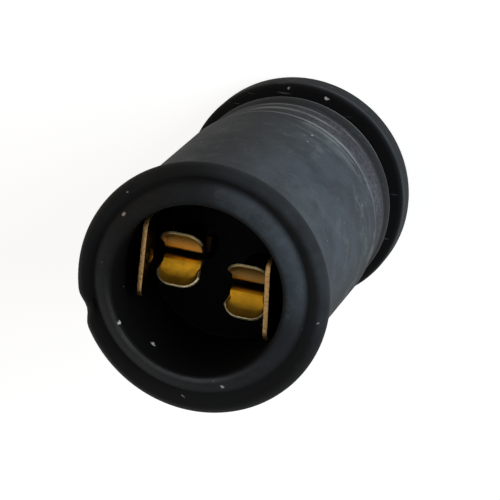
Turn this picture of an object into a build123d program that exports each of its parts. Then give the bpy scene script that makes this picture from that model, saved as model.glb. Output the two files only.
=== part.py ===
from build123d import *
from math import hypot
import os

# Bulb socket for a wedge-base bulb: a moulded rubber sleeve with two folded brass contacts.
# Millimetres. The origin is the centre of the rear face, and +Z runs along the sleeve to its mouth.

# Bulb's wedge and the side plates that stand beside it
plate_spacing = 10.1
plate_height = 6.6
plate_corner = 0.9
plate_front_depth = 2.9
plate_rear_gap = 0.6
plate_clearance = 0.09
dimple_depth = 3.9
dimple_width = 1.4
dimple_height = 0.35
dimple_rim = 0.1

# Brass strip of both contacts, whose mid-planes stand either side of the sleeve's axis
sheet = 0.4
contact_stagger = 0.78
plate_bend = 0.55
tail_bend = 0.5

# Pair of spring leaves, which clip the wedge
leaf_width = 3.3
leaf_clearance = 0.1
throat_gap = 0.54
throat_depth = 6.2
throat_land = 0.5
lip_rise = 1.7
lip_corner = 1.35
lip_bend = 0.6
leaf_root_gap = 2.2
leaf_root_bend = 0.5

# Tail with its crimp barrel, and the rubber channel round it
tail_width = 1.4
crimp_bore = 2.0
crimp_length = 5.0
crimp_seam = 0.35
crimp_drop = 4.4
channel_clearance = 0.2
channel_tail = 2.0
wire_exit_diameter = 1.8
wire_exit_flare = 0.5

# Sleeve: its wall over the bore, and the rise or drop of each ring from the barrel
overall_length = 31.3
bore_depth = 9.6
sleeve_wall = 2.3
bead_rise = 1.0
flange_rise = 0.55
groove_drop = 1.2
collar_drop = 0.25
waist_drop = 0.4

# Sleeve: lengths of its rings, from the rear
flange_thickness = 2.2
groove_width = 1.9
collar_length = 1.1
waist_length = 5.0
waist_ramp = 1.1

# Mouth: the nose ring, the crease and the rolled bead
mouth_bevel = 0.15
nose_land = 0.25
nose_width = 1.75
nose_roll = 2.6
crease_depth = 1.25
bead_front_depth = 0.85
bead_front_drop = 0.65
bead_crown_depth = 1.5
bead_crown_length = 0.7
bead_back_run = 0.75

# Heights over the rear face
mouth_z = overall_length
bore_floor_z = mouth_z - bore_depth
floor_mid_z = bore_floor_z + sheet / 2
throat_z = mouth_z - throat_depth
lip_z = throat_z + throat_land / 2 + lip_rise
plate_front_z = mouth_z - plate_front_depth
plate_rear_z = bore_floor_z + sheet + plate_rear_gap
dimple_z = mouth_z - dimple_depth
groove_front_z = flange_thickness + groove_width
waist_rear_z = groove_front_z + collar_length
barrel_rear_z = waist_rear_z + waist_length
bead_back_z = mouth_z - bead_crown_depth - bead_crown_length
crimp_top_z = bore_floor_z - crimp_drop
crimp_rear_z = crimp_top_z - crimp_length
channel_rear_z = crimp_rear_z - channel_tail

# Widths of the contacts from the socket's axis
plate_inner_x = plate_spacing / 2
plate_outer_x = plate_inner_x + sheet
plate_mid_x = plate_inner_x + sheet / 2
clip_centre = plate_inner_x - dimple_height - leaf_clearance - leaf_width / 2
crimp_outer_radius = crimp_bore / 2 + sheet
tail_inner_x = clip_centre - leaf_width / 2
tail_outer_x = tail_inner_x + sheet
tail_mid_x = tail_inner_x + sheet / 2
crimp_x = tail_inner_x + crimp_outer_radius
channel_radius = crimp_outer_radius + channel_clearance
strip_half_width = leaf_root_gap / 2 + sheet

# The bore just clears the plates' far corners, rounded to a tenth, and every ring follows the bore
plate_reach = hypot(plate_outer_x, plate_height / 2 + contact_stagger)
bore_radius = round(2 * (plate_reach + plate_clearance), 1) / 2
barrel_radius = bore_radius + sleeve_wall
bead_radius = barrel_radius + bead_rise
bead_front_radius = bead_radius - bead_front_drop
flange_radius = barrel_radius + flange_rise
groove_radius = barrel_radius - groove_drop
collar_radius = barrel_radius - collar_drop
waist_radius = barrel_radius - waist_drop
crease_radius = bore_radius + nose_width

# Outline of half the sleeve, from the axis at the rear face round to the axis at the mouth
corners = {
    "rear rim": (flange_radius, 0),
    "front rim": (flange_radius, flange_thickness),
    "groove rear": (groove_radius, flange_thickness),
    "groove front": (groove_radius, groove_front_z),
    "collar rear": (collar_radius, groove_front_z),
    "collar front": (collar_radius, waist_rear_z),
    "waist rear": (waist_radius, waist_rear_z + waist_ramp / 2),
    "waist front": (waist_radius, barrel_rear_z - waist_ramp),
    "crest": (barrel_radius, barrel_rear_z),
    "bead root": (barrel_radius, bead_back_z - bead_back_run),
    "bead back": (bead_radius, bead_back_z),
    "bead crown": (bead_radius, mouth_z - bead_crown_depth),
    "bead front": (bead_front_radius, mouth_z - bead_front_depth),
    "crease": (crease_radius, mouth_z - crease_depth),
}
rounding = {
    "waist front": 1.6,
    "crest": 0.8,
    "bead back": 0.4,
    "bead crown": 0.45,
}
bevels = {
    "rear rim": 0.6,
    "front rim": 0.35,
    "collar rear": 0.2,
    "collar front": 0.2,
    "bead root": 0.25,
    "bead front": 0.2,
}

with BuildPart() as rubber_body:
    with BuildSketch(Plane.XZ) as half_outline:
        with BuildLine():
            nose_edge = (bore_radius + nose_land, mouth_z)
            Polyline((0, mouth_z), (0, 0), *corners.values())
            # the nose ring is a convex roll from the crease up to the mouth
            RadiusArc(corners["crease"], nose_edge, -nose_roll)
            Line(nose_edge, (0, mouth_z))
        make_face()
        for name, radius in rounding.items():
            corner = half_outline.vertices().sort_by_distance(corners[name])[0]
            fillet(corner, radius)
        for name, length in bevels.items():
            corner = half_outline.vertices().sort_by_distance(corners[name])[0]
            chamfer(corner, length)
    revolve(axis=Axis.Z)
    # round bore for the bulb, blind at the contacts' seat
    with BuildSketch(Plane.XY.offset(mouth_z)):
        Circle(bore_radius)
    extrude(amount=-bore_depth, mode=Mode.SUBTRACT)
    mouth_edge = rubber_body.edges().filter_by(GeomType.CIRCLE).group_by(Axis.Z)[-1].sort_by(SortBy.RADIUS)[0]
    chamfer(mouth_edge, mouth_bevel)
    # one channel behind each contact, then its narrower wire exit
    channel_places = [(crimp_x, -contact_stagger), (-crimp_x, contact_stagger)]
    with BuildSketch(Plane.XY.offset(channel_rear_z)):
        with Locations(*channel_places):
            Circle(channel_radius)
    extrude(amount=bore_floor_z - channel_rear_z, mode=Mode.SUBTRACT)
    with BuildSketch(Plane.XY):
        with Locations(*channel_places):
            Circle(wire_exit_diameter / 2)
    extrude(amount=channel_rear_z, mode=Mode.SUBTRACT)
    exit_edges = rubber_body.edges().filter_by(GeomType.CIRCLE).group_by(Axis.Z)[0].sort_by(SortBy.RADIUS)[0:2]
    chamfer(exit_edges, wire_exit_flare)
rubber_body.part.label = "rubber_body"

# Contact on the +X side, modelled in its place; its own mid-plane lies at y = -contact_stagger
contact_plane = Plane(origin=(0, -contact_stagger, 0), x_dir=(1, 0, 0), z_dir=(0, -1, 0))
clip_plane = Plane(origin=(clip_centre, -contact_stagger, 0), x_dir=(0, 1, 0), z_dir=(1, 0, 0))

with BuildPart() as contact_right:
    # one bent strip makes the plate's root, the floor and the tail
    with BuildSketch(contact_plane):
        with BuildLine():
            FilletPolyline(
                (plate_mid_x, plate_rear_z + plate_corner),
                (plate_mid_x, floor_mid_z),
                (tail_mid_x, floor_mid_z),
                (tail_mid_x, crimp_top_z - crimp_length / 2),
                radius=[plate_bend, tail_bend],
            )
        trace(line_width=sheet)
    extrude(amount=strip_half_width, both=True)
    # the tail is narrower than the floor
    with BuildSketch(Plane.XY.offset(bore_floor_z)):
        with Locations((tail_outer_x, -contact_stagger)):
            Rectangle(4 * sheet, 4 * strip_half_width)
            Rectangle(4 * sheet, tail_width, mode=Mode.SUBTRACT)
    extrude(amount=-bore_floor_z, mode=Mode.SUBTRACT)
    # side plate with rounded corners
    plate_middle_z = (plate_front_z + plate_rear_z) / 2
    plate_plane = Plane(origin=(plate_inner_x, -contact_stagger, plate_middle_z), x_dir=(0, 1, 0), z_dir=(1, 0, 0))
    with BuildSketch(plate_plane):
        RectangleRounded(plate_height, plate_front_z - plate_rear_z, plate_corner)
    extrude(amount=sheet)
    # pressed dimple: raised on the inner face, hollow on the outer face
    dimple_axis = Axis((0, -contact_stagger, dimple_z), (1, 0, 0))
    with BuildSketch(contact_plane):
        with BuildLine():
            crown = (plate_inner_x - dimple_height, dimple_z)
            edge = (plate_inner_x, dimple_z + dimple_width / 2)
            TangentArc(crown, edge, tangent=(0, 1))
            Polyline(edge, (plate_inner_x, dimple_z), crown)
        make_face()
    revolve(axis=dimple_axis)
    with BuildSketch(contact_plane):
        with BuildLine():
            hollow = (plate_outer_x - dimple_height, dimple_z)
            hollow_edge = (plate_outer_x, dimple_z + dimple_width / 2 - dimple_rim)
            TangentArc(hollow, hollow_edge, tangent=(0, 1))
            Polyline(hollow_edge, (plate_outer_x, dimple_z), hollow)
        make_face()
    revolve(axis=dimple_axis, mode=Mode.SUBTRACT)
    # crimp barrel, rolled from the tail, with its seam on the far side
    with BuildSketch(Plane.XY.offset(crimp_rear_z)):
        with Locations((crimp_x, -contact_stagger)):
            Circle(crimp_outer_radius)
            Circle(crimp_bore / 2, mode=Mode.SUBTRACT)
        with Locations((crimp_x + crimp_outer_radius, -contact_stagger)):
            Rectangle(2 * crimp_outer_radius, crimp_seam, mode=Mode.SUBTRACT)
    extrude(amount=crimp_length)

# Pair of leaves: one strip rises from the floor on each side, closes to the throat and flares into a lip
with BuildPart() as leaves:
    # heights and half-spacings of the strip's middle line
    throat_y = (throat_gap + sheet) / 2
    lip_y = throat_y + lip_rise
    root_y = (leaf_root_gap + sheet) / 2
    with BuildSketch(clip_plane):
        with BuildLine():
            FilletPolyline(
                (-lip_y, lip_z),
                (-throat_y, throat_z + throat_land / 2),
                (-throat_y, throat_z - throat_land / 2),
                (-root_y, floor_mid_z),
                (root_y, floor_mid_z),
                (throat_y, throat_z - throat_land / 2),
                (throat_y, throat_z + throat_land / 2),
                (lip_y, lip_z),
                radius=[lip_bend, lip_bend, leaf_root_bend, leaf_root_bend, lip_bend, lip_bend],
            )
        trace(line_width=sheet)
    extrude(amount=leaf_width / 2, both=True)
    # seen from the side, each leaf is straight, and its lip ends in a rounded D
    leaf_top_z = lip_z + sheet
    leaf_middle_z = (bore_floor_z + leaf_top_z) / 2
    with BuildSketch(contact_plane) as leaf_outline:
        with Locations((clip_centre, leaf_middle_z)):
            Rectangle(leaf_width, leaf_top_z - bore_floor_z)
        fillet(leaf_outline.vertices().group_by(Axis.Y)[-1], lip_corner)
    extrude(amount=2 * lip_rise + strip_half_width, both=True, mode=Mode.INTERSECT)

with BuildPart() as contact_right_whole:
    add(contact_right.part)
    add(leaves.part)
contact_right_whole.part.label = "contact_right"

# The second contact is the same stamping, turned half a turn about the sleeve's axis
with BuildPart() as contact_left:
    add(contact_right_whole.part.rotate(Axis.Z, 180))
contact_left.part.label = "contact_left"

os.makedirs("parts", exist_ok=True)
export_step(rubber_body.part, "parts/rubber_body.step")
export_step(contact_right_whole.part, "parts/contact_right.step")
export_step(contact_left.part, "parts/contact_left.step")
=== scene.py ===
# %% [markdown]
# # A bulb socket of rubber and brass
# The object is a small moulded rubber sleeve, 31 mm long, with two folded brass contacts inside its mouth.
# The bulb's glass wedge is pushed in from the top, and the sleeve's rear end is held in a lamp's housing.
# The CAD model is loaded first as a fixed frame. It gives every size, and each new mesh has to sit in its place.

# %% The frame
import math
import bmesh
import bpy
from mathutils import Matrix, Vector


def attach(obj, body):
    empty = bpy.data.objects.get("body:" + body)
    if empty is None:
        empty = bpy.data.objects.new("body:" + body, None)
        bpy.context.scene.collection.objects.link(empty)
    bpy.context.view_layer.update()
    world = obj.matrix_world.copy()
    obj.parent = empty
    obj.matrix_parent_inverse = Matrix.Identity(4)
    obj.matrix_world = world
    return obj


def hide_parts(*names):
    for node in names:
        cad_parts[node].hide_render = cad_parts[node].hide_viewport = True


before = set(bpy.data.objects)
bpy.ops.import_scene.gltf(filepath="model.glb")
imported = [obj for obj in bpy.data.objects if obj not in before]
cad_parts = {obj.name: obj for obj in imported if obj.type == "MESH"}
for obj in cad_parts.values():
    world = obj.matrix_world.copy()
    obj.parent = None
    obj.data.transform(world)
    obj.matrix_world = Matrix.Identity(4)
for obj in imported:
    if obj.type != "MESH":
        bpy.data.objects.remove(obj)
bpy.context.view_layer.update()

bpy.ops.object.select_all(action="DESELECT")

# %% [markdown]
# ## Working in millimetres
# Blender's unit here is the metre, but a socket is thought of in millimetres, so one constant turns one into the other.
# Parts of a mesh are selected by a test on their place, because a script has no mouse to click with.
# NEAR is how close a place has to come to pass such a test.

# %% Small helpers for edit mode
MM = 0.001
NEAR = 0.004 * MM


def edit(piece):
    """Makes a piece the only selected one and opens it in edit mode."""
    bpy.ops.object.select_all(action="DESELECT")
    piece.select_set(True)
    bpy.context.view_layer.objects.active = piece
    bpy.ops.object.mode_set(mode="EDIT")


def leave_edit():
    """Goes back to object mode and returns the piece."""
    bpy.ops.object.mode_set(mode="OBJECT")
    return bpy.context.view_layer.objects.active


def pick(kind, test):
    """Selects the vertices, edges or faces whose corner places all pass the test, and returns how many there are."""
    bpy.ops.mesh.select_mode(type=kind)
    bpy.ops.mesh.select_all(action="DESELECT")
    piece = bpy.context.edit_object
    shape = bmesh.from_edit_mesh(piece.data)
    parts = {"VERT": shape.verts, "EDGE": shape.edges, "FACE": shape.faces}[kind]
    chosen = [part for part in parts if all(test(place) for place in corners_of(part))]
    for part in chosen:
        part.select_set(True)
    shape.select_flush_mode()
    bmesh.update_edit_mesh(piece.data)
    return len(chosen)


def corners_of(part):
    """The places of a vertex, or of the vertices of an edge or a face."""
    return [part.co] if isinstance(part, bmesh.types.BMVert) else [corner.co for corner in part.verts]


def apply_modifiers(piece):
    """Applies a piece's modifiers in their order."""
    bpy.context.view_layer.objects.active = piece
    for modifier in list(piece.modifiers):
        bpy.ops.object.modifier_apply(modifier=modifier.name)


# %% [markdown]
# ## The rubber sleeve
# The real sleeve is moulded in one shot, and every section through its axis is the same.
# It could be spun from a drawn profile. Here one circle is extruded ring after ring, as on a lathe,
# because each ring then stays a clean edge loop that can be rounded by itself.
# The outline runs from the rear face over the flange, groove, collar, waist and barrel to the rolled bead,
# round the nose ring and down into the bore. Only the nose ring is a curve: its points from the crease
# to its crest lie on an arc of 2.6 mm radius.

# %% Outline of the sleeve, as radius and height in millimetres
SEGMENTS = 160

outline = [
    (9.75, 0.0),
    (9.75, 2.2),
    (8.0, 2.2),
    (8.0, 4.1),
    (8.95, 4.1),
    (8.95, 5.2),
    (8.8, 5.75),
    (8.8, 9.1),
    (9.2, 10.2),
    (9.2, 28.35),
    (10.2, 29.1),
    (10.2, 29.8),
    (9.55, 30.45),
    (8.65, 30.05),
    (8.367, 30.472),
    (8.022, 30.821),
    (7.617, 31.097),
    (7.15, 31.3),
    (6.9, 31.15),
    (6.9, 21.7),
]
print("points of the outline:", len(outline))

# %% Extruding the rings
(first_radius, height), *more_rings = outline
bpy.ops.mesh.primitive_circle_add(vertices=SEGMENTS, radius=first_radius * MM, fill_type="NGON")
sleeve = bpy.context.active_object
sleeve.name = "rubber_sleeve"
bpy.ops.object.mode_set(mode="EDIT")
bpy.ops.mesh.select_all(action="SELECT")
radius = first_radius
for next_radius, next_height in more_rings:
    step = (0, 0, (next_height - height) * MM)
    bpy.ops.mesh.extrude_region_move(TRANSFORM_OT_translate={"value": step})
    growth = next_radius / radius
    bpy.ops.transform.resize(value=(growth, growth, 1), center_override=(0, 0, next_height * MM))
    radius, height = next_radius, next_height
leave_edit()
print("sleeve rings:", len(outline), "vertices:", len(sleeve.data.vertices))

# %% [markdown]
# A mould never has a knife-sharp corner, so each ring is bevelled by its own width.
# The bead is rolled most, the end of the barrel stays crisp above the waist,
# and the crease between the bead and the nose ring stays tight. The list gives each ring's width of rounding
# in millimetres, and the number of steps that it is made in.

# %% Rounding the rings
roundings = {
    (9.75, 0.0): (0.5, 4),
    (9.75, 2.2): (0.3, 4),
    (8.0, 2.2): (0.15, 2),
    (8.0, 4.1): (0.15, 2),
    (8.95, 4.1): (0.16, 3),
    (8.95, 5.2): (0.2, 3),
    (8.8, 5.75): (0.25, 3),
    (8.8, 9.1): (0.35, 4),
    (9.2, 10.2): (0.22, 3),
    (9.2, 28.35): (0.25, 3),
    (10.2, 29.1): (0.28, 4),
    (10.2, 29.8): (0.36, 4),
    (9.55, 30.45): (0.3, 4),
    (8.65, 30.05): (0.14, 2),
    (7.15, 31.3): (0.12, 3),
    (6.9, 31.15): (0.1, 2),
    (6.9, 21.7): (0.25, 3),
}


def on_ring(radius, height):
    """Makes a test for places on one ring of the sleeve."""
    return lambda place: (
        abs(math.hypot(place.x, place.y) - radius * MM) < NEAR and abs(place.z - height * MM) < NEAR
    )


edit(sleeve)
for (radius, height), (width, steps) in roundings.items():
    found = pick("EDGE", on_ring(radius, height))
    assert found == SEGMENTS, (radius, height, found)
    bpy.ops.mesh.bevel(offset=width * MM, segments=steps, profile=0.5, affect="EDGES")
leave_edit()
print("rounded rings:", len(roundings), "vertices:", len(sleeve.data.vertices))

# %% [markdown]
# ## A bead that has seen some use
# The bead is soft, so on the real socket it has crept a little to one side, and it has been nicked once.
# The crept bead is one move of its rings. The nick is pressed in column by column with a scale towards the axis,
# deepest in the middle, so that it fades out at both ends.

# %% The crept bead and its nick
BEAD_FOOT_Z, BEAD_INNER_RADIUS, BEAD_MIDDLE_RADIUS = 28.7, 9.0, 10.0
NICK_BEARING, NICK_HALF_WIDTH, NICK_DEPTH = -160, 9, 0.42
COLUMN_ANGLE = 360 / SEGMENTS
NICK_COLUMNS = int(NICK_HALF_WIDTH / COLUMN_ANGLE)
CREEP = (0.05, -0.26, 0)


def on_bead(place):
    """True for places on the bead, from its back to its front."""
    return place.z > BEAD_FOOT_Z * MM and math.hypot(place.x, place.y) > BEAD_INNER_RADIUS * MM


edit(sleeve)
print("points of the bead:", pick("VERT", on_bead))
middle_bearing = round(NICK_BEARING / COLUMN_ANGLE) * COLUMN_ANGLE
for step in range(-NICK_COLUMNS, NICK_COLUMNS + 1):
    column = step * COLUMN_ANGLE
    bearing = math.radians(middle_bearing + column)

    def in_column(place):
        """True for the bead's places at one bearing."""
        across = place.x * math.sin(bearing) - place.y * math.cos(bearing)
        return on_bead(place) and abs(across) < NEAR and place.x * math.cos(bearing) > 0

    found = pick("VERT", in_column)
    depth = NICK_DEPTH * math.cos(math.pi / 2 * column / NICK_HALF_WIDTH) ** 2
    shrink = 1 - depth / BEAD_MIDDLE_RADIUS
    bpy.ops.transform.resize(value=(shrink, shrink, 1), center_override=(0, 0, 0))
    print("nick column", column, "points", found, "depth", round(depth, 2))
pick("VERT", on_bead)
bpy.ops.transform.translate(value=[part * MM for part in CREEP])
leave_edit()

# %% [markdown]
# ## The wire channels
# Behind each contact a channel holds its crimp barrel, and a narrower hole leads the wire out of the rear face.
# Each is cut as it would be drilled: a turned cutter is taken away from the sleeve with a Boolean modifier.
# The cutter's rings are radius and height again. It starts below the rear face and ends above the bore's floor,
# so that no face of it lies in a face of the sleeve.

# %% Cutting the two channels
CHANNEL_X, STAGGER, CUTTER_SIDES = 2.7, 0.78, 48
cutter_rings = [(1.5, -0.1), (0.9, 0.5), (0.9, 10.3), (1.6, 10.3), (1.6, 22.2)]


def turned_cutter(name, rings, place):
    """Turns a solid cutter from rings of radius and height, standing at a place in plan."""
    radius, height = rings[0]
    bpy.ops.mesh.primitive_circle_add(vertices=CUTTER_SIDES, radius=radius * MM, fill_type="NGON")
    cutter = bpy.context.active_object
    cutter.name = name
    bpy.ops.object.mode_set(mode="EDIT")
    bpy.ops.mesh.select_all(action="SELECT")
    bpy.ops.transform.translate(value=(0, 0, height * MM))
    for next_radius, next_height in rings[1:]:
        bpy.ops.mesh.extrude_region_move(TRANSFORM_OT_translate={"value": (0, 0, (next_height - height) * MM)})
        growth = next_radius / radius
        bpy.ops.transform.resize(value=(growth, growth, 1), center_override=(0, 0, next_height * MM))
        radius, height = next_radius, next_height
    bpy.ops.mesh.select_all(action="SELECT")
    bpy.ops.mesh.normals_make_consistent(inside=False)
    bpy.ops.transform.translate(value=(place[0] * MM, place[1] * MM, 0))
    return leave_edit()


edit(sleeve)
bpy.ops.mesh.select_all(action="SELECT")
bpy.ops.mesh.normals_make_consistent(inside=False)
leave_edit()
for side in (1, -1):
    cutter = turned_cutter("channel_cutter", cutter_rings, (side * CHANNEL_X, -side * STAGGER))
    cut = sleeve.modifiers.new("channel", "BOOLEAN")
    cut.operation = "DIFFERENCE"
    cut.solver = "EXACT"
    cut.object = cutter
    apply_modifiers(sleeve)
    bpy.data.objects.remove(cutter)
print("sleeve faces with its channels:", len(sleeve.data.polygons))

# %% [markdown]
# ## A brass contact
# Each contact is one stamping folded from 0.4 mm strip: a floor, a side plate beside the bulb's wedge,
# two spring leaves that close to a throat and flare into round lips, and a tail that is rolled into a crimp barrel.
# A folded sheet is modelled best as a sheet: a plane without thickness is extruded edge by edge,
# its folds are bevelled into bends, and Solidify gives it the strip's thickness at the end.

# %% Sizes of the contact, in millimetres from the socket's axis and rear face
FLOOR_Z = 21.9
TAIL_X, ROOT_IN_X, LEAF_IN_X, LEAF_OUT_X, PLATE_X = 1.5, 2.1, 1.3, 4.45, 5.25
ROOT_HALF, THROAT_HALF, LIP_HALF = 1.3, 0.47, 2.17
THROAT_LOW_Z, THROAT_HIGH_Z, LIP_Z = 24.85, 25.35, 27.05
PLATE_HALF, PLATE_LOW_Z, PLATE_TOP_Z = 3.3, 22.7, 28.4
TAIL_HALF, TAIL_LOW_Z = 0.7, 17.3


def at(x=None, y=None, z=None):
    """Makes a test for places at the given coordinates, in millimetres; a coordinate left out may be anything."""
    wanted = [(axis, value * MM) for axis, value in enumerate((x, y, z)) if value is not None]
    return lambda place: all(abs(place[axis] - value) < NEAR for axis, value in wanted)


def pull(move, to_scale=None, centre=(0, 0, 0)):
    """Extrudes what is selected by a move in millimetres, and then scales it about a centre if asked."""
    bpy.ops.mesh.extrude_region_move(TRANSFORM_OT_translate={"value": [part * MM for part in move]})
    if to_scale:
        bpy.ops.transform.resize(value=to_scale, center_override=[part * MM for part in centre])


# %% The floor, and the fold lines it needs
bpy.ops.mesh.primitive_plane_add(size=1)
contact = bpy.context.active_object
contact.name = "contact_right_brass"
bpy.ops.object.mode_set(mode="EDIT")
floor_length = LEAF_OUT_X - ROOT_IN_X
bpy.ops.transform.resize(value=(floor_length * MM, 2 * ROOT_HALF * MM, 1), center_override=(0, 0, 0))
bpy.ops.transform.translate(value=((ROOT_IN_X + floor_length / 2) * MM, 0, FLOOR_Z * MM))
for cut_y in (-TAIL_HALF, TAIL_HALF):
    bpy.ops.mesh.select_all(action="SELECT")
    bpy.ops.mesh.bisect(plane_co=(0, cut_y * MM, 0), plane_no=(0, 1, 0))
print("contact floor:", round(floor_length, 2), "by", 2 * ROOT_HALF, "mm")

# %% Side plate: the floor runs on, turns up and widens
PLATE_CORNER, PLATE_CORNER_STEPS = 0.9, 6
pick("EDGE", at(x=LEAF_OUT_X))
pull((PLATE_X - LEAF_OUT_X, 0, 0))
pull((0, 0, PLATE_LOW_Z - FLOOR_Z))
pull((0, 0, PLATE_TOP_Z - PLATE_LOW_Z))
for side in (1, -1):
    edge_at = at(x=PLATE_X, y=side * ROOT_HALF)
    pick("EDGE", lambda place: edge_at(place) and place.z > PLATE_LOW_Z * MM - NEAR)
    pull((0, side * (PLATE_HALF - ROOT_HALF), 0))
for corner_y in (-PLATE_HALF, PLATE_HALF):
    for corner_z in (PLATE_LOW_Z, PLATE_TOP_Z):
        pick("VERT", at(PLATE_X, corner_y, corner_z))
        bpy.ops.mesh.bevel(offset=PLATE_CORNER * MM, segments=PLATE_CORNER_STEPS, affect="VERTICES")
print("side plate:", 2 * PLATE_HALF, "mm wide, up to z", PLATE_TOP_Z)

# %% Pressed dimple in the plate, which centres the bulb, with its rings as radius and height
DIMPLE_Z, DIMPLE_RADIUS, DIMPLE_DEPTH, DIMPLE_SIDES = 27.4, 0.7, 0.35, 24
PATCH_LOW_Z, PATCH_HIGH_Z = 26.4, 28.25
dimple_rings = ((0.55, 0.156), (0.4, 0.253), (0.22, 0.322))


def in_patch(place):
    """True for places of the plate's patch round the dimple."""
    on_plate = abs(place.x - PLATE_X * MM) < NEAR and abs(place.y) < ROOT_HALF * MM + NEAR
    return on_plate and PATCH_LOW_Z * MM - NEAR < place.z < PATCH_HIGH_Z * MM + NEAR


for cut_z in (PATCH_LOW_Z, PATCH_HIGH_Z):
    pick("FACE", at(x=PLATE_X))
    bpy.ops.mesh.bisect(plane_co=(0, 0, cut_z * MM), plane_no=(0, 0, 1))
pick("FACE", in_patch)
bpy.ops.mesh.delete(type="FACE")
dimple_centre = (PLATE_X * MM, 0, DIMPLE_Z * MM)
bpy.ops.mesh.primitive_circle_add(
    vertices=DIMPLE_SIDES, radius=DIMPLE_RADIUS * MM, location=dimple_centre, rotation=(0, math.pi / 2, 0)
)
pick("EDGE", in_patch)
bpy.ops.mesh.fill()


def on_dimple_rim(place):
    """True for places on the rim of the dimple."""
    return in_patch(place) and abs((place - Vector(dimple_centre)).length - DIMPLE_RADIUS * MM) < NEAR


pick("EDGE", on_dimple_rim)
ring_radius, ring_height = DIMPLE_RADIUS, 0
for next_radius, next_height in dimple_rings:
    shrink = next_radius / ring_radius
    pull((ring_height - next_height, 0, 0), (1, shrink, shrink), (PLATE_X, 0, DIMPLE_Z))
    ring_radius, ring_height = next_radius, next_height
pull((ring_height - DIMPLE_DEPTH, 0, 0))
bpy.ops.mesh.merge(type="CENTER")
print("dimple:", 2 * DIMPLE_RADIUS, "mm wide and", DIMPLE_DEPTH, "mm deep")

# %% Spring leaves: up from the floor's long edges, in to the throat, and out again as lips
DISH_HALF, DISH_Z, LIP_CORNER_STEPS = 1.75, 26.2, 8
lip_corners = {LEAF_IN_X: 1.22, LEAF_OUT_X: 1.1}
leaf_widening = (LEAF_OUT_X - LEAF_IN_X) / (LEAF_OUT_X - ROOT_IN_X)
for side in (1, -1):
    floor_edge = at(y=side * ROOT_HALF, z=FLOOR_Z)
    pick("EDGE", lambda place: floor_edge(place) and place.x < LEAF_OUT_X * MM + NEAR)
    rise = (0, -side * (ROOT_HALF - THROAT_HALF), THROAT_LOW_Z - FLOOR_Z)
    pull(rise, (leaf_widening, 1, 1), (LEAF_OUT_X, 0, 0))
    pull((0, 0, THROAT_HIGH_Z - THROAT_LOW_Z))
    pull((0, side * (DISH_HALF - THROAT_HALF), DISH_Z - THROAT_HIGH_Z))
    for corner_x, corner_size in lip_corners.items():
        found = pick("VERT", at(corner_x, side * DISH_HALF, DISH_Z))
        assert found == 1, found
        bpy.ops.mesh.bevel(offset=corner_size * MM, segments=LIP_CORNER_STEPS, affect="VERTICES")
    print("leaf on side", side, "closes to", THROAT_HALF, "mm from the contact's middle")

# %% [markdown]
# Each lip ends in a raised rim, which turns it into a spoon that guides the bulb in. The rim is coined thinner
# than the strip. Its free edge goes into a vertex group, which tells Solidify later where the sheet thins out.

# %% Raised rim of each lip
RIM_START, RIM_LOW_Z, RIM_PIVOT_X, RIM_GROWTH = 0.8, THROAT_HIGH_Z + 0.1, 3.2, 1.09
rim_move = (LIP_HALF - DISH_HALF, LIP_Z - DISH_Z)
contact.vertex_groups.new(name="coined rims")
for side in (1, -1):

    def on_lip_border(place):
        """True for places round the free end of one lip."""
        in_leaf = LEAF_IN_X * MM - NEAR < place.x < LEAF_OUT_X * MM + NEAR
        return in_leaf and place.z > RIM_LOW_Z * MM and side * place.y > RIM_START * MM - NEAR

    found = pick("EDGE", on_lip_border)
    pull((0, side * rim_move[0], rim_move[1]), (RIM_GROWTH, 1, 1), (RIM_PIVOT_X, 0, 0))
    bpy.ops.object.vertex_group_assign()
    print("border edges of a lip:", found)

# %% Tail: the floor's middle strip runs on inwards and turns down
pick("EDGE", lambda place: at(x=ROOT_IN_X, z=FLOOR_Z)(place) and abs(place.y) < TAIL_HALF * MM + NEAR)
pull((TAIL_X - ROOT_IN_X, 0, 0))
pull((0, 0, TAIL_LOW_Z - FLOOR_Z))
print("tail:", 2 * TAIL_HALF, "mm wide, down to z", TAIL_LOW_Z)

# %% Crimp barrel, rolled round the stripped end of the wire, with its seam on the far side
BARREL_SIDES, BARREL_RADIUS, BARREL_LENGTH = 28, 1.2, 5.0
half_side = math.pi / BARREL_SIDES
barrel_top = (CHANNEL_X * MM, 0, TAIL_LOW_Z * MM)
bpy.ops.mesh.primitive_circle_add(
    vertices=BARREL_SIDES, radius=BARREL_RADIUS * MM, location=barrel_top, rotation=(0, 0, half_side)
)
pull((0, 0, -BARREL_LENGTH))
seam_x = (CHANNEL_X + BARREL_RADIUS * math.cos(half_side)) * MM
found = pick("FACE", lambda place: abs(place.x - seam_x) < NEAR and place.z < (TAIL_LOW_Z + 0.1) * MM)
assert found == 1, found
bpy.ops.mesh.delete(type="FACE")
print("crimp barrel:", 2 * BARREL_RADIUS, "by", BARREL_LENGTH, "mm, open at its seam")

# %% Bending the folds
LEAF_BEND, LOW_THROAT_BEND, HIGH_THROAT_BEND, PLATE_BEND, TAIL_BEND = 0.5, 0.09, 0.25, 0.55, 0.45


def bend(test, width, steps=5):
    """Rounds a fold of the sheet: width is how far the bend reaches each way from the fold."""
    found = pick("EDGE", test)
    bpy.ops.mesh.bevel(offset=width * MM, segments=steps, profile=0.5, affect="EDGES")
    print("fold of", found, "edges bent over", width, "mm each way")


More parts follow.
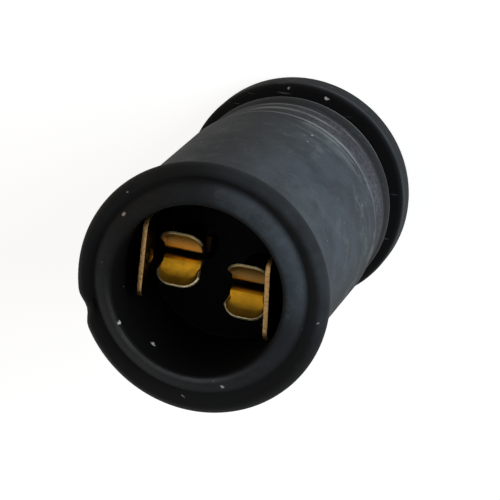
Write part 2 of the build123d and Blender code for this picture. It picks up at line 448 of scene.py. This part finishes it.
for side in (1, -1):
    bend(at(y=side * THROAT_HALF, z=THROAT_LOW_Z), LOW_THROAT_BEND, 2)
    bend(at(y=side * THROAT_HALF, z=THROAT_HIGH_Z), HIGH_THROAT_BEND)
    fold = at(y=side * ROOT_HALF, z=FLOOR_Z)
    bend(lambda place: fold(place) and place.x < LEAF_OUT_X * MM + NEAR, LEAF_BEND)
bend(at(x=PLATE_X, z=FLOOR_Z), PLATE_BEND)
bend(at(x=TAIL_X, z=FLOOR_Z), TAIL_BEND)
bpy.ops.mesh.select_all(action="SELECT")
bpy.ops.mesh.normals_make_consistent(inside=False)
leave_edit()
print("contact sheet faces:", len(contact.data.polygons))

# %% [markdown]
# ## From sheet to brass strip
# Solidify gives the sheet its thickness on both sides. The cut edges get a material of their own,
# because a blanked edge is rougher and paler than the rolled face, and a small bevel stands for the worn burr.
# Even thickness stays off, as it throws spikes where two folds meet. The bevel leaves pairs of points in one place
# at the lips' corners, and merging them keeps the strip free of folded-over faces.
# The flat faces are then weighted in the shading, so that they look flat up to their bends.

# %% Thickness, worn edges and shading
SHEET, COINED_SHARE = 0.4, 0.6
EDGE_WEAR, WEAR_ANGLE = 0.05, 55
SAME_PLACE = 0.002 * MM
SLEEVE_SHARP, CONTACT_SHARP = 32, 34


def thicken(piece):
    """Gives a folded sheet its strip thickness and worn edges, and merges points that lie in one place."""
    strip = piece.modifiers.new("strip", "SOLIDIFY")
    strip.thickness = SHEET * MM
    strip.offset = 0
    strip.use_even_offset = False
    strip.material_offset_rim = 1
    strip.vertex_group = "coined rims"
    strip.invert_vertex_group = True
    strip.thickness_vertex_group = COINED_SHARE
    wear = piece.modifiers.new("wear", "BEVEL")
    wear.width = EDGE_WEAR * MM
    wear.segments = 2
    wear.limit_method = "ANGLE"
    wear.angle_limit = math.radians(WEAR_ANGLE)
    wear.use_clamp_overlap = False
    apply_modifiers(piece)
    piece.vertex_groups.clear()
    edit(piece)
    bpy.ops.mesh.select_all(action="SELECT")
    bpy.ops.mesh.remove_doubles(threshold=SAME_PLACE)
    leave_edit()


def smooth(piece, angle):
    """Shades a piece smooth up to an angle in degrees, with the larger faces deciding the shading."""
    bpy.ops.object.select_all(action="DESELECT")
    piece.select_set(True)
    bpy.context.view_layer.objects.active = piece
    bpy.ops.object.shade_smooth_by_angle(angle=math.radians(angle))
    weighted = piece.modifiers.new("flat faces", "WEIGHTED_NORMAL")
    weighted.keep_sharp = True
    apply_modifiers(piece)


# %% [markdown]
# ## Two contacts from one
# Both contacts are the same stamping, seated half a turn apart. The second gets its own copy of the mesh.
# Springy plates never sit quite straight once they are pushed into rubber, so each leans a little, as on the real one.

# %% Placing both contacts
LEAN_FOOT_Z, PLATE_INNER_X = 22.5, 4.9


def lean(piece, angle, twist, twist_y):
    """Leans the side plate towards the socket's axis, in degrees, and twists it about a point of its width."""
    edit(piece)
    found = pick("VERT", lambda place: place.x > PLATE_INNER_X * MM and place.z > (LEAN_FOOT_Z - 0.1) * MM)
    pivot = (PLATE_X * MM, twist_y * MM, LEAN_FOOT_Z * MM)
    bpy.ops.transform.rotate(value=math.radians(angle), orient_axis="Y", center_override=pivot)
    bpy.ops.transform.rotate(value=math.radians(twist), orient_axis="Z", center_override=pivot)
    leave_edit()
    return found


other = contact.copy()
other.data = contact.data.copy()
other.name = "contact_left_brass"
bpy.context.scene.collection.objects.link(other)
for piece, angle, twist, twist_y, turn in ((contact, 2.2, -4, -1, 0), (other, -1.2, 0, 0, math.pi)):
    moved = lean(piece, angle, twist, twist_y)
    piece.data.transform(Matrix.Rotation(turn, 4, "Z") @ Matrix.Translation((0, -STAGGER * MM, 0)))
    print(piece.name, "leans by", angle, "degrees, points moved:", moved)

# %% [markdown]
# ## Colours and nodes
# Colours are written as the hex values a picture would show, and one function turns them to Blender's linear light.
# One more function adds a node with its settings and its links, so that a material reads as a list of its layers.
# Some inputs are known by number. Of a Map Range node, 0 is the value, 1 and 2 are where its range starts and ends,
# and 3 and 4 are what it gives there. Of a Mix node for colours, 0 is the share, and 6 and 7 are the two colours.

# %% Colour and node helpers
def linear(code):
    """Turns an sRGB hex colour into the linear one that shaders use."""
    parts = [int(code[i : i + 2], 16) / 255 for i in (1, 3, 5)]
    return [part / 12.92 if part <= 0.04045 else ((part + 0.055) / 1.055) ** 2.4 for part in parts] + [1]


def add(tree, kind, settings, inputs):
    """Adds a node. An input takes a number, a hex colour, or the node or output that it is linked to."""
    node = tree.nodes.new("ShaderNode" + kind)
    for name, value in settings.items():
        setattr(node, name, value)
    for key, value in inputs.items():
        if isinstance(value, bpy.types.Node):
            value = [output for output in value.outputs if output.enabled][0]
        if isinstance(value, bpy.types.NodeSocket):
            tree.links.new(value, node.inputs[key])
        else:
            node.inputs[key].default_value = linear(value) if isinstance(value, str) else value
    return node


def new_material(name):
    """Makes an empty node material and returns it with its tree."""
    material = bpy.data.materials.new(name)
    material.use_nodes = True
    material.node_tree.nodes.clear()
    return material, material.node_tree


def places_in_mm(tree):
    """Gives a material the place on the piece in millimetres, as a vector and split into X, Y and Z."""
    place = add(tree, "TexCoord", {}, {}).outputs["Object"]
    in_mm = add(tree, "VectorMath", {"operation": "SCALE"}, {0: place, "Scale": 1 / MM})
    return in_mm, add(tree, "SeparateXYZ", {}, {0: in_mm}).outputs


MULTIPLY, ADD, SUBTRACT, MAXIMUM = [{"operation": name} for name in ("MULTIPLY", "ADD", "SUBTRACT", "MAXIMUM")]
SMOOTH = {"interpolation_type": "SMOOTHSTEP"}
COLOUR = {"data_type": "RGBA"}

# %% [markdown]
# ## Black rubber
# The sleeve is carbon-filled rubber moulded in a blasted steel tool: dark, matt and finely pitted.
# The bore and the groove at the rear are painted nearly black: painted shade of these recesses. Outside there is a grey
# bloom, cloudy scuffs, a speckled waist with rub lines round it, pale worn edges, fine scratches and some dust.
# The bloom and these marks are painted stronger on the side that faces the window softbox, a painted sheen over the
# real bloom. The pale edges are partly painted highlights, and a line round the nose's low side is a painted highlight.
# All of them are placed by the distance from the axis, the height on the sleeve and the side they face, read from
# Object coordinates, so nothing has to be unwrapped or painted. A layer's share is a chain of products: a pattern,
# times each place where it may show.
# The coordinates are in millimetres, so a noise scale is one over the size of its patches: 0.3 gives clouds of
# about 3 mm, and 3.2 gives grit of about 0.3 mm. The pitted skin scatters light, so it has almost no shine,
# and its specular level is far below the usual 0.5.

# %% Rubber: places on the sleeve, in millimetres
rubber, tree = new_material("rubber_black_moulded")
in_mm, parts = places_in_mm(tree)
height = parts["Z"]
flat = add(tree, "CombineXYZ", {}, {"X": parts["X"], "Y": parts["Y"]})
from_axis = add(tree, "VectorMath", {"operation": "LENGTH"}, {0: flat})
print("rubber nodes for places:", len(tree.nodes))

# %% Rubber: painted shade in the bore and the groove, bloom outside with a painted sheen on the lit side, least on the bead, most on the barrel
TOWARDS_PAINTED_SHEEN = (0.788, 0.616, 0)
outside = add(tree, "MapRange", SMOOTH, {0: from_axis, 1: 6.9, 2: 7.4, 3: 0.0, 4: 1.0})
over_barrel = add(tree, "MapRange", SMOOTH, {0: height, 1: 28.4, 2: 29.2, 3: 1.0, 4: 0.38})
off_the_nose = add(tree, "MapRange", SMOOTH, {0: from_axis, 1: 8.2, 2: 8.9, 3: 1.0, 4: 0.0})
on_bead_less = add(tree, "Math", MAXIMUM, {0: over_barrel, 1: off_the_nose})
# Painted shade: the bloom is kept low in the groove and on the flange face inside it.
groove_shade_by_radius = add(tree, "MapRange", SMOOTH, {0: from_axis, 1: 9.1, 2: 9.7, 3: 0.08, 4: 1.0})
above_collar = add(tree, "MapRange", SMOOTH, {0: height, 1: 4.05, 2: 4.3, 3: 0.0, 4: 1.0})
outside_groove_shade = add(tree, "Math", MAXIMUM, {0: groove_shade_by_radius, 1: above_collar})
patch = add(tree, "TexNoise", {}, {"Vector": in_mm, "Scale": 0.3, "Detail": 5.0, "Roughness": 0.62})
patchy = add(tree, "MapRange", SMOOTH, {0: patch, 1: 0.3, 2: 0.7, 3: 0.5, 4: 1.1})
# Painted sheen: the bloom, and the speckles with it, are made stronger on the side that faces the window softbox.
sheen_side_reach = add(tree, "VectorMath", {"operation": "DOT_PRODUCT"}, {0: in_mm, 1: TOWARDS_PAINTED_SHEEN})
painted_sheen_share = add(tree, "MapRange", SMOOTH, {0: sheen_side_reach, 1: 3.6, 2: 9.2, 3: 0.2, 4: 1.08})
# The scuffs, rub lines and pale edges are also made stronger on that lit side: painted light.
lit_side_share = add(tree, "MapRange", SMOOTH, {0: sheen_side_reach, 1: -2.0, 2: 8.0, 3: 0.3, 4: 1.0})
below_barrel = add(tree, "MapRange", SMOOTH, {0: height, 1: 9.6, 2: 10.2, 3: 0.25, 4: 0.8})
low_on_barrel = add(tree, "MapRange", SMOOTH, {0: height, 1: 10.4, 2: 15.0, 3: 0.0, 4: 0.2})
below_barrel = add(tree, "Math", ADD, {0: below_barrel, 1: low_on_barrel})
bloom = outside
for share in (on_bead_less, below_barrel, outside_groove_shade, patchy, painted_sheen_share):
    bloom = add(tree, "Math", MULTIPLY, {0: bloom, 1: share})
outside_recess_shade = add(tree, "Math", MULTIPLY, {0: outside, 1: outside_groove_shade})
# The bore and the groove get a near-black base colour: painted shade of these recesses.
base_with_recess_shade = add(tree, "Mix", COLOUR, {0: outside_recess_shade, 6: "#060606", 7: "#131211"})
colour = add(tree, "Mix", COLOUR, {0: bloom, 6: base_with_recess_shade, 7: "#454c51"})
print("rubber nodes with the bloom:", len(tree.nodes))

# %% Rubber: cloudy scuffs low on the barrel, and a speckled, worn waist
scuff_patch = add(tree, "TexNoise", {}, {"Vector": in_mm, "Scale": 0.26, "Detail": 6.0, "Roughness": 0.75})
scuffs = add(tree, "MapRange", SMOOTH, {0: scuff_patch, 1: 0.5, 2: 0.66, 3: 0.0, 4: 0.75})
low_barrel = add(tree, "MapRange", SMOOTH, {0: height, 1: 24.0, 2: 13.0, 3: 0.25, 4: 1.0})
above_waist = add(tree, "MapRange", SMOOTH, {0: height, 1: 9.8, 2: 10.4, 3: 0.0, 4: 1.0})
scuffed = scuffs
for share in (low_barrel, lit_side_share, above_waist, outside, on_bead_less):
    scuffed = add(tree, "Math", MULTIPLY, {0: scuffed, 1: share})
colour = add(tree, "Mix", COLOUR, {0: scuffed, 6: colour, 7: "#666d6c"})
grit = add(tree, "TexNoise", {}, {"Vector": in_mm, "Scale": 3.2, "Detail": 4.0, "Roughness": 0.7})
speckles = add(tree, "MapRange", SMOOTH, {0: grit, 1: 0.42, 2: 0.68, 3: 0.25, 4: 0.8})
waist_foot = add(tree, "MapRange", SMOOTH, {0: height, 1: 5.6, 2: 6.4, 3: 0.0, 4: 1.0})
waist_top = add(tree, "MapRange", SMOOTH, {0: height, 1: 10.2, 2: 9.4, 3: 0.0, 4: 1.0})
speckled = speckles
for share in (waist_foot, waist_top, painted_sheen_share, patchy, outside):
    speckled = add(tree, "Math", MULTIPLY, {0: speckled, 1: share})
colour = add(tree, "Mix", COLOUR, {0: speckled, 6: colour, 7: "#66686f"})
print("rubber nodes with scuffs and speckles:", len(tree.nodes))

# %% Rubber: rub lines round the waist, from being pushed in and out of a panel
long_ways = add(tree, "VectorMath", MULTIPLY, {0: in_mm, 1: (0.1, 0.1, 1.25)})
line_ways = {"Vector": long_ways, "Scale": 1.0, "Detail": 4.0, "Roughness": 0.6, "Distortion": 0.3}
line = add(tree, "TexNoise", {}, line_ways)
lines = add(tree, "MapRange", SMOOTH, {0: line, 1: 0.52, 2: 0.64, 3: 0.0, 4: 0.7})
from_below = add(tree, "MapRange", SMOOTH, {0: height, 1: 4.6, 2: 6.0, 3: 0.0, 4: 1.0})
from_above = add(tree, "MapRange", SMOOTH, {0: height, 1: 15.0, 2: 9.0, 3: 0.0, 4: 1.0})
rub_patch = add(tree, "TexNoise", {}, {"Vector": in_mm, "Scale": 0.16, "Detail": 1.0})
rub_place = add(tree, "MapRange", SMOOTH, {0: rub_patch, 1: 0.4, 2: 0.62, 3: 0.15, 4: 1.0})
rubbed_and_highlit = lines
for share in (from_below, from_above, rub_place, lit_side_share, outside):
    rubbed_and_highlit = add(tree, "Math", MULTIPLY, {0: rubbed_and_highlit, 1: share})
print("rubber nodes with rub lines:", len(tree.nodes))

# %% Rubber: pale edges of the collar, the barrel and the flange, partly wear and partly painted highlight, and a painted highlight round the low side of the nose
EDGE_FADE_IN, EDGE_FADE_OUT = 0.12, 0.13
TOWARDS_NOSE_HIGHLIGHT = (-0.35, -0.94, 0)
worn_place = add(tree, "MapRange", SMOOTH, {0: rub_patch, 1: 0.35, 2: 0.6, 3: 0.4, 4: 1.0})
# These pale lines are partly wear and partly a painted highlight where the edges catch the light.
for low, high, strength in ((4.05, 4.41, 0.8), (9.95, 10.46, 0.9), (1.9, 2.2, 0.2)):
    edge_wear_and_highlight = add(tree, "MapRange", SMOOTH, {0: height, 1: low, 2: low + EDGE_FADE_IN, 3: 0.0, 4: strength})
    edge_top = add(tree, "MapRange", SMOOTH, {0: height, 1: high, 2: high - EDGE_FADE_OUT, 3: 0.0, 4: 1.0})
    for share in (edge_top, worn_place, lit_side_share, outside):
        edge_wear_and_highlight = add(tree, "Math", MULTIPLY, {0: edge_wear_and_highlight, 1: share})
    rubbed_and_highlit = add(tree, "Math", MAXIMUM, {0: rubbed_and_highlit, 1: edge_wear_and_highlight})
# Painted highlight: a pale line on the nose ring's crest, on its low side only.
nose_inside = add(tree, "MapRange", SMOOTH, {0: from_axis, 1: 7.0, 2: 7.15, 3: 0.0, 4: 1.0})
nose_outside = add(tree, "MapRange", SMOOTH, {0: from_axis, 1: 7.6, 2: 7.25, 3: 0.0, 4: 1.0})
on_nose = add(tree, "MapRange", SMOOTH, {0: height, 1: 30.6, 2: 30.9, 3: 0.0, 4: 1.0})
nose_highlight_reach = add(tree, "VectorMath", {"operation": "DOT_PRODUCT"}, {0: in_mm, 1: TOWARDS_NOSE_HIGHLIGHT})
nose_highlight_share = add(tree, "MapRange", SMOOTH, {0: nose_highlight_reach, 1: 2.0, 2: 7.0, 3: 0.0, 4: 0.3})
nose_highlight = nose_inside
for share in (nose_outside, on_nose, nose_highlight_share, patchy):
    nose_highlight = add(tree, "Math", MULTIPLY, {0: nose_highlight, 1: share})
rubbed_and_highlit = add(tree, "Math", MAXIMUM, {0: rubbed_and_highlit, 1: nose_highlight})
colour = add(tree, "Mix", COLOUR, {0: rubbed_and_highlit, 6: colour, 7: "#878c8c"})
print("rubber nodes with worn edges:", len(tree.nodes))

# %% Rubber: dust and lint, in a few places only, drawn coarse enough to show, with their outlines warped
# Each piece of lint is a place on the rubber and a size, in millimetres.
WARP = 0.5
warp = add(tree, "TexNoise", {}, {"Vector": in_mm, "Scale": 3.0, "Detail": 2.0})
warped = add(tree, "VectorMath", {"operation": "MULTIPLY_ADD"}, {0: warp.outputs["Color"], 1: (WARP,) * 3, 2: in_mm})
cells = add(tree, "TexVoronoi", {}, {"Vector": warped, "Scale": 0.8})
cell_size = add(tree, "SeparateColor", {}, {0: cells.outputs["Color"]})
reach = add(tree, "MapRange", {}, {0: cell_size.outputs[0], 1: 0.45, 2: 1.0, 3: 0.0, 4: 0.11})
nearness = add(tree, "Math", SUBTRACT, {0: reach, 1: cells.outputs["Distance"]})
speck = add(tree, "MapRange", SMOOTH, {0: nearness, 1: 0.0, 2: 0.03, 3: 0.0, 4: 0.6})
dust_patch = add(tree, "TexNoise", {}, {"Vector": in_mm, "Scale": 0.13, "Detail": 1.0})
dust_place = add(tree, "MapRange", SMOOTH, {0: dust_patch, 1: 0.42, 2: 0.56, 3: 0.0, 4: 1.0})
dusty = add(tree, "Math", MULTIPLY, {0: speck, 1: dust_place})
lint_places = [
    (-6.58, 4.85, 30.67, 0.24),
    (1.85, 8.77, 2.2, 0.2),
    (-3.6, -5.86, 28.8, 0.3),
    (-5.92, -3.77, 31.2, 0.2),
    (2.9, -7.4, 30.9, 0.22),
]
for x, y, z, size in lint_places:
    middle = [part + WARP / 2 for part in (x, y, z)]
    gap = add(tree, "VectorMath", {"operation": "DISTANCE"}, {0: warped, 1: middle})
    lint = add(tree, "MapRange", SMOOTH, {0: gap, 1: size, 2: size / 2, 3: 0.0, 4: 1.0})
    dusty = add(tree, "Math", MAXIMUM, {0: dusty, 1: lint})
colour = add(tree, "Mix", COLOUR, {0: dusty, 6: colour, 7: "#c4c6c3"})
print("lint placed:", len(lint_places))

# %% Rubber: fine scratches, pits and the shader
scratch_ways = add(tree, "Mapping", {}, {0: in_mm, "Rotation": (0.3, 0.5, 0.2), "Scale": (0.35, 5.0, 5.0)})
scratch = add(tree, "TexNoise", {}, {"Vector": scratch_ways, "Scale": 1.0, "Detail": 2.0})
scratches = add(tree, "MapRange", SMOOTH, {0: scratch, 1: 0.67, 2: 0.72, 3: 0.0, 4: 0.3})
on_barrel = add(tree, "MapRange", SMOOTH, {0: height, 1: 28.0, 2: 26.0, 3: 0.0, 4: 1.0})
scratched = add(tree, "Math", MULTIPLY, {0: scratches, 1: outside})
scratched = add(tree, "Math", MULTIPLY, {0: scratched, 1: on_barrel})
colour = add(tree, "Mix", COLOUR, {0: scratched, 6: colour, 7: "#7b8388"})
pits = add(tree, "TexNoise", {}, {"Vector": in_mm, "Scale": 4.5, "Detail": 3.0, "Roughness": 0.6})
ripple = add(tree, "TexNoise", {}, {"Vector": in_mm, "Scale": 0.45, "Detail": 1.0})
relief = add(tree, "Math", ADD, {0: pits, 1: ripple})
bump = add(tree, "Bump", {}, {"Height": relief, "Strength": 0.35, "Distance": 0.06 * MM})
spread = add(tree, "MapRange", {}, {0: patch, 1: 0.3, 2: 0.7, 3: 0.62, 4: 0.74})
shader = add(tree, "BsdfPrincipled", {}, {"Base Color": colour, "Roughness": spread, "Normal": bump})
shader.inputs["Specular IOR Level"].default_value = 0.07
add(tree, "OutputMaterial", {}, {"Surface": shader})
sleeve.data.materials.clear()
sleeve.data.materials.append(rubber)
smooth(sleeve, SLEEVE_SHARP)
print("rubber nodes in all:", len(tree.nodes))

# %% [markdown]
# ## Brass strip
# The contacts are blanked and folded from rolled brass strip. On the lips it is bright and golden; the upper lip of
# each pair is painted paler, a painted reflection, and the right contact is painted a little darker, painted shade that
# tones
# down its stronger reflection. Deeper down, just under the lips' rims and on the side plates it is painted dark brown:
# painted shade and painted dark reflection.
# Rolling leaves fine lines along the strip, stretched noise of about 0.1 mm one way and 0.8 mm the other.
# The blanked edges are torn, so they are paler and rougher; on the lips their paleness is partly a painted highlight,
# and on the upper lips and deeper down they are painted darker as shade.

# %% Brass: rolled faces, golden on the lips and painted dark with shade elsewhere
TOWARDS_UPPER_LIPS = (0.28, 1, 0)


def inside_and_upper_lips(tree, in_mm, parts):
    """Finds the places between the two side plates, and the upper lip of each pair, which gets painted light of its
    own.
    """
    off_side = add(tree, "Math", {"operation": "ABSOLUTE"}, {0: parts["X"]})
    inside = add(tree, "MapRange", SMOOTH, {0: off_side, 1: 5.0, 2: 4.8, 3: 0.0, 4: 1.0})
    across = add(tree, "VectorMath", {"operation": "DOT_PRODUCT"}, {0: in_mm, 1: TOWARDS_UPPER_LIPS})
    return inside, add(tree, "MapRange", SMOOTH, {0: across, 1: 0.0, 2: 0.8, 3: 0.0, 4: 0.75})


brass, tree = new_material("brass_strip_rolled")
in_mm, parts = places_in_mm(tree)
inside, upper_lip_painted_light = inside_and_upper_lips(tree, in_mm, parts)
# Painted shade and painted dark reflection: below the throat, just under the rims and outside the space between the
# plates the brass gets a dark brown.
high = add(tree, "MapRange", SMOOTH, {0: parts["Z"], 1: 24.9, 2: 25.5, 3: 0.0, 4: 1.0})
below_dark_rim = add(tree, "MapRange", SMOOTH, {0: parts["Z"], 1: 26.5, 2: 25.8, 3: 0.2, 4: 1.0})
lit_lip_share = high
for share in (inside, below_dark_rim):
    lit_lip_share = add(tree, "Math", MULTIPLY, {0: lit_lip_share, 1: share})
stain = add(tree, "TexNoise", {}, {"Vector": in_mm, "Scale": 1.6, "Detail": 4.0, "Roughness": 0.65})
stained = add(tree, "MapRange", SMOOTH, {0: stain, 1: 0.4, 2: 0.7, 3: 0.0, 4: 0.5})
# The golden tone is painted darker towards +x, on the right contact: painted shade that tones down its stronger
# reflection.
along_x = add(tree, "MapRange", {}, {0: parts["X"], 1: -3.0, 2: 3.0, 3: 0.0, 4: 1.0})
golden = add(tree, "Mix", COLOUR, {0: along_x, 6: "#f7b62c", 7: "#ae7e1a"})
golden = add(tree, "Mix", COLOUR, {0: stained, 6: golden, 7: "#a47a26"})
# Painted reflection: the upper lip of each pair is paler and beige.
golden = add(tree, "Mix", COLOUR, {0: upper_lip_painted_light, 6: golden, 7: "#bcae84"})
colour = add(tree, "Mix", COLOUR, {0: lit_lip_share, 6: "#1c140a", 7: golden})
rolled_ways = add(tree, "VectorMath", MULTIPLY, {0: in_mm, 1: (9.0, 1.2, 1.2)})
rolled = add(tree, "TexNoise", {}, {"Vector": rolled_ways, "Scale": 1.0, "Detail": 3.0})
bump = add(tree, "Bump", {}, {"Height": rolled, "Strength": 0.3, "Distance": 0.02 * MM})
spread = add(tree, "MapRange", {}, {0: stain, 1: 0.3, 2: 0.7, 3: 0.34, 4: 0.5})
shader = add(tree, "BsdfPrincipled", {}, {"Base Color": colour, "Roughness": spread, "Normal": bump})
shader.inputs["Metallic"].default_value = 1
add(tree, "OutputMaterial", {}, {"Surface": shader})
print("brass nodes:", len(tree.nodes))

# %% Brass: blanked edges
brass_edge, tree = new_material("brass_edge_blanked")
in_mm, parts = places_in_mm(tree)
inside, upper_lip_painted_light = inside_and_upper_lips(tree, in_mm, parts)
below_plate_top = add(tree, "MapRange", SMOOTH, {0: parts["Z"], 1: 27.6, 2: 27.3, 3: 0.0, 4: 1.0})
at_lips = add(tree, "Math", MULTIPLY, {0: inside, 1: below_plate_top})
# Painted shade: deeper down the edges are dark brown, as the faces are.
high = add(tree, "MapRange", SMOOTH, {0: parts["Z"], 1: 24.5, 2: 26.0, 3: 0.0, 4: 1.0})
torn = add(tree, "TexNoise", {}, {"Vector": in_mm, "Scale": 5.0, "Detail": 3.0})
torn_tone = add(tree, "MapRange", SMOOTH, {0: torn, 1: 0.35, 2: 0.65, 3: 0.0, 4: 1.0})
plate_edge = add(tree, "Mix", COLOUR, {0: torn_tone, 6: "#846740", 7: "#a98a5c"})
# The lips' pale edges are partly the torn metal and partly a painted highlight.
lip_edge_highlight = add(tree, "Mix", COLOUR, {0: torn_tone, 6: "#b0a274", 7: "#ded4b4"})
# Painted shade: the upper lips' edges are darker.
lip_edge_highlight = add(tree, "Mix", COLOUR, {0: upper_lip_painted_light, 6: lip_edge_highlight, 7: "#5e5230"})
edge_wear_and_highlight = add(tree, "Mix", COLOUR, {0: at_lips, 6: plate_edge, 7: lip_edge_highlight})
colour = add(tree, "Mix", COLOUR, {0: high, 6: "#1c140a", 7: edge_wear_and_highlight})
bump = add(tree, "Bump", {}, {"Height": torn, "Strength": 0.4, "Distance": 0.03 * MM})
shader = add(tree, "BsdfPrincipled", {}, {"Base Color": colour, "Normal": bump})
shader.inputs["Metallic"].default_value = 1
shader.inputs["Roughness"].default_value = 0.5
add(tree, "OutputMaterial", {}, {"Surface": shader})
for piece in (contact, other):
    piece.data.materials.clear()
    piece.data.materials.append(brass)
    piece.data.materials.append(brass_edge)
    thicken(piece)
    smooth(piece, CONTACT_SHARP)
    print(piece.name, "faces:", len(piece.data.polygons))

# %% [markdown]
# ## Camera
# The camera stands where the photograph was taken from: high over the mouth and far back, with a long lens.
# Its place and turn come from the round edges in the photograph, which a camera sees as ellipses.

# %% The photograph's camera
LENS_MM, SENSOR_MM = 216, 36
CAMERA_PLACE = (0.05565, 0.07777, 0.24184)
camera_data = bpy.data.cameras.new("photo_camera")
camera_data.sensor_width = SENSOR_MM
camera_data.lens = LENS_MM
camera_data.clip_start = 0.01
camera = bpy.data.objects.new("photo_camera", camera_data)
bpy.context.scene.collection.objects.link(camera)
camera_axes = Matrix(((0.9557, -0.1891, 0.2261), (0.1101, 0.9407, 0.3212), (-0.2733, -0.2821, 0.9196)))
camera.matrix_world = Matrix.Translation(CAMERA_PLACE) @ camera_axes.to_4x4()
bpy.context.scene.camera = camera
print("camera at", CAMERA_PLACE, "with a lens of", LENS_MM, "mm")

# %% [markdown]
# ## Floor and light
# The picture has a white ground with a faint shadow. The floor is white paper that shows itself as white
# to the camera and in reflections. Half of what is seen of it is lit paper, which the shadow darkens a little,
# and the other half glows by itself.
# One large window-like softbox stands low at the picture's right. A weak warm one fills from the upper left,
# a third one lights the far side, and the room gives a dim, even light.

# %% White floor
FLOOR_WIDTH, GLOW_SHARE, GLOW_STRENGTH = 3, 0.5, 1.7
bpy.ops.mesh.primitive_plane_add(size=FLOOR_WIDTH)
floor = bpy.context.active_object
floor.name = "floor"
paper, tree = new_material("paper_white_matte")
rays = add(tree, "LightPath", {}, {}).outputs
seen = add(tree, "Math", MAXIMUM, {0: rays["Is Camera Ray"], 1: rays["Is Glossy Ray"]})
seen = add(tree, "Math", MAXIMUM, {0: seen, 1: rays["Is Transmission Ray"]})
share = add(tree, "Math", MULTIPLY, {0: seen, 1: GLOW_SHARE})
shader = add(tree, "BsdfPrincipled", {}, {"Base Color": "#f2f2f0", "Roughness": 0.9})
white = add(tree, "Emission", {}, {"Color": "#ffffff", "Strength": GLOW_STRENGTH})
surface = add(tree, "MixShader", {}, {0: share, 1: shader, 2: white})
add(tree, "OutputMaterial", {}, {"Surface": surface})
floor.data.materials.append(paper)
print("floor width in metres:", FLOOR_WIDTH)

# %% Room
ROOM_LIGHT = 0.1
world = bpy.data.worlds.new("studio_room")
bpy.context.scene.world = world
world.use_nodes = True
world.node_tree.nodes.clear()
tree = world.node_tree
rays = add(tree, "LightPath", {}, {}).outputs
seen = add(tree, "Math", MAXIMUM, {0: rays["Is Camera Ray"], 1: rays["Is Glossy Ray"]})
seen = add(tree, "Math", MAXIMUM, {0: seen, 1: rays["Is Transmission Ray"]})
level = add(tree, "MapRange", {}, {0: seen, 1: 0.0, 2: 1.0, 3: ROOM_LIGHT, 4: 1.0})
room = add(tree, "Background", {}, {"Color": "#ffffff", "Strength": level})
add(tree, "OutputWorld", {}, {"Surface": room})
print("room light:", ROOM_LIGHT)

# %% Softboxes
SOFTBOX_DISTANCE, SOFTBOX_WIDTH = 0.55, 0.35
socket_middle = Vector((0, 0, 0.016))


def softbox(name, bearing, rise, power, colour):
    """Puts a square area lamp at a bearing and rise in degrees, turned towards the socket's middle."""
    lamp = bpy.data.lights.new(name, "AREA")
    lamp.shape = "SQUARE"
    lamp.size = SOFTBOX_WIDTH
    lamp.energy = power
    lamp.color = linear(colour)[:3]
    holder = bpy.data.objects.new(name, lamp)
    bpy.context.scene.collection.objects.link(holder)
    bearing, rise = math.radians(bearing), math.radians(rise)
    away = Vector((math.cos(rise) * math.cos(bearing), math.cos(rise) * math.sin(bearing), math.sin(rise)))
    holder.location = socket_middle + away * SOFTBOX_DISTANCE
    holder.rotation_euler = away.to_track_quat("Z", "Y").to_euler()
    print(name, "power", power, "W")


softbox("window_softbox", 24, 18, 2.7, "#eef5ff")
softbox("warm_softbox", 150, 22, 0.5, "#ffd8aa")
softbox("far_softbox", 238, 6, 1.0, "#ffffff")

# %% [markdown]
# The visual sleeve stands for the CAD sleeve, and each brass contact for its CAD node.

# %% Finish
bpy.context.scene.view_settings.view_transform = "Standard"
for piece, node, slot in (
    (sleeve, "rubber_body", "rubber"),
    (contact, "contact_right", "brass"),
    (other, "contact_left", "brass"),
):
    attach(piece, "root")
    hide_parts(node)
